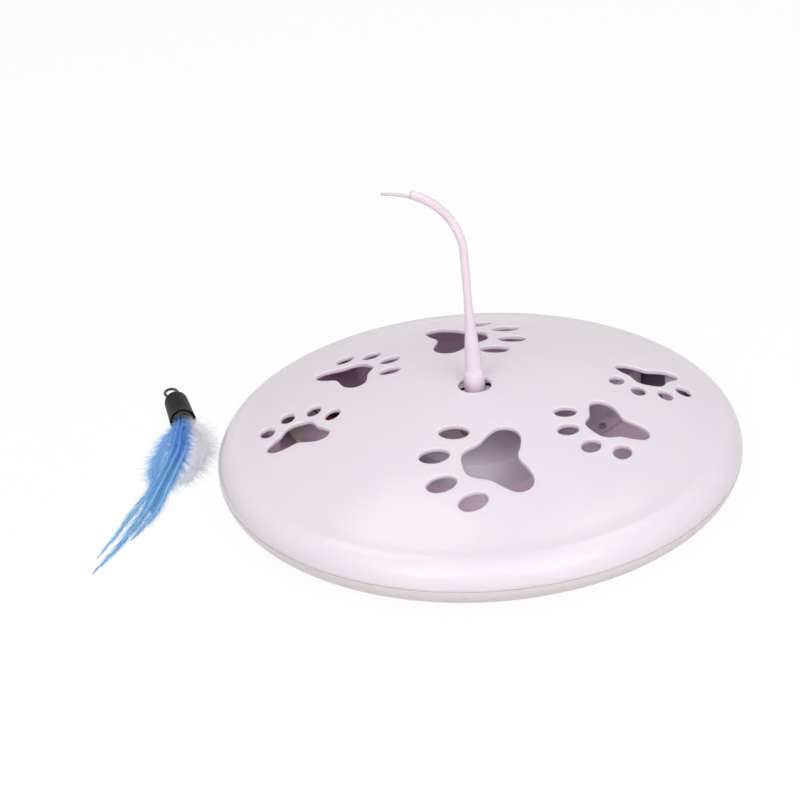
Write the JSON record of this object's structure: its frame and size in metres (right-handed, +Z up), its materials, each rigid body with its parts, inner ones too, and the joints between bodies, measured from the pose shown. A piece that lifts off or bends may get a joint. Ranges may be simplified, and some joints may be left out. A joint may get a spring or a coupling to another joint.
{
  "type": "electronic cat toy",
  "caption": "Low domed disc with paw-shaped windows and a geared motor that spins an upright curved tail, with a feather lure that hooks on the tail's forked tip.",
  "frame": {"origin": "underside of the centre foot, on the floor under the tail's spin axis", "axes": "+Z up along the tail's spin axis, -Y to the front of the disc, -X to the side where the lure lies"},
  "size_m": [0.3011, 0.25, 0.1448],
  "materials": {
    "shell": "glossy injection-moulded ABS, lavender white",
    "inner_shell": "satin injection-moulded ABS",
    "foot_rubber": "matt",
    "screw_steel": "zinc plated",
    "axle_steel": "bright",
    "bush_bronze": "sintered",
    "gear_nylon": "natural nylon",
    "motor_steel": "drawn can",
    "black_plastic": "satin",
    "pinion_brass": "bright",
    "contact_steel": "nickel plated",
    "cell_jacket": "plain printed jacket",
    "board_laminate": "cream laminate",
    "knob_grey": "satin",
    "wire_red": "insulation",
    "wire_black": "insulation",
    "tail_rubber": "smooth thermoplastic rubber, pinkish white",
    "cap_black": "satin",
    "plug_glue": "set glue",
    "cord_black": "braided cord",
    "feather_blue": "dyed feather",
    "feather_white": "dyed feather",
    "feather_pale": "dyed feather"
  },
  "bodies": {
    "disc": {"base_tray": "shell", "top_cover": "shell", "gearbox_cover": "inner_shell", "battery_holder": "inner_shell", "foot_centre": "foot_rubber", "foot_1": "foot_rubber", "foot_2": "foot_rubber", "foot_3": "foot_rubber", "foot_4": "foot_rubber", "cover_screws": "screw_steel", "gearbox_screws": "screw_steel", "motor_clip_screws": "screw_steel", "holder_screws": "screw_steel", "board_screws": "screw_steel", "output_axle": "axle_steel", "idler_axle": "axle_steel", "motor_clip": "axle_steel", "output_bush": "bush_bronze", "motor_can": "motor_steel", "motor_end_cap": "black_plastic", "switch_body": "black_plastic", "timer_chip": "black_plastic", "board_capacitor": "black_plastic", "motor_terminals": "pinion_brass", "contact_plates": "contact_steel", "contact_leaves": "contact_steel", "battery_cell_1": "cell_jacket", "battery_cell_2": "cell_jacket", "battery_cell_3": "cell_jacket", "circuit_board": "board_laminate", "board_resistors": "board_laminate", "battery_wire_red": "wire_red", "motor_wire_red": "wire_red", "battery_wire_black": "wire_black", "motor_wire_black": "wire_black"},
    "tail_drive": {"output_gear": "gear_nylon"},
    "idler": {"idler_gear": "gear_nylon"},
    "motor_rotor": {"motor_shaft": "axle_steel", "motor_pinion": "pinion_brass"},
    "tail": {"tail_ferrule": "tail_rubber", "tail_wand": "tail_rubber"},
    "switch": {"switch_knob": "knob_grey"},
    "door": {"battery_door": "shell", "door_screw": "screw_steel"},
    "lure": {"lure_cap": "cap_black", "quill_plug": "plug_glue", "lure_loop": "cord_black", "blue_plume": "feather_blue", "white_plume": "feather_white", "pale_plume": "feather_pale", "long_feather_1": "feather_blue", "long_feather_2": "feather_blue", "long_feather_3": "feather_blue"}
  },
  "joints": [
    {"name": "tail_spin", "type": "hinge", "parent": "disc", "child": "tail_drive", "pos_m": [0, 0, 0], "axis": [0, 0, 1], "continuous": true},
    {"name": "idler_spin", "type": "hinge", "parent": "disc", "child": "idler", "pos_m": [0.018, 0, 0], "axis": [0, 0, 1], "continuous": true},
    {"name": "motor_spin", "type": "hinge", "parent": "disc", "child": "motor_rotor", "pos_m": [0.0154, 0.01477, 0], "axis": [0, 0, 1], "continuous": true},
    {"name": "tail_pull", "type": "slide", "parent": "tail_drive", "child": "tail", "axis": [0, 0, 1], "range_m": [0, 0.025]},
    {"name": "switch_slide", "type": "slide", "parent": "disc", "child": "switch", "axis": [0, 1, 0], "range_m": [0, 0.004]},
    {"name": "door_lift", "type": "slide", "parent": "disc", "child": "door", "axis": [0, 0, -1], "range_m": [0, 0.03]},
    {"name": "lure_lift", "type": "slide", "parent": "disc", "child": "lure", "axis": [0, 0, 1], "range_m": [0, 0.15]}
  ],
  "couplings": [
    {"joint": "idler_spin", "follows": "tail_spin", "ratio": -5},
    {"joint": "motor_spin", "follows": "tail_spin", "ratio": 20}
  ]
}
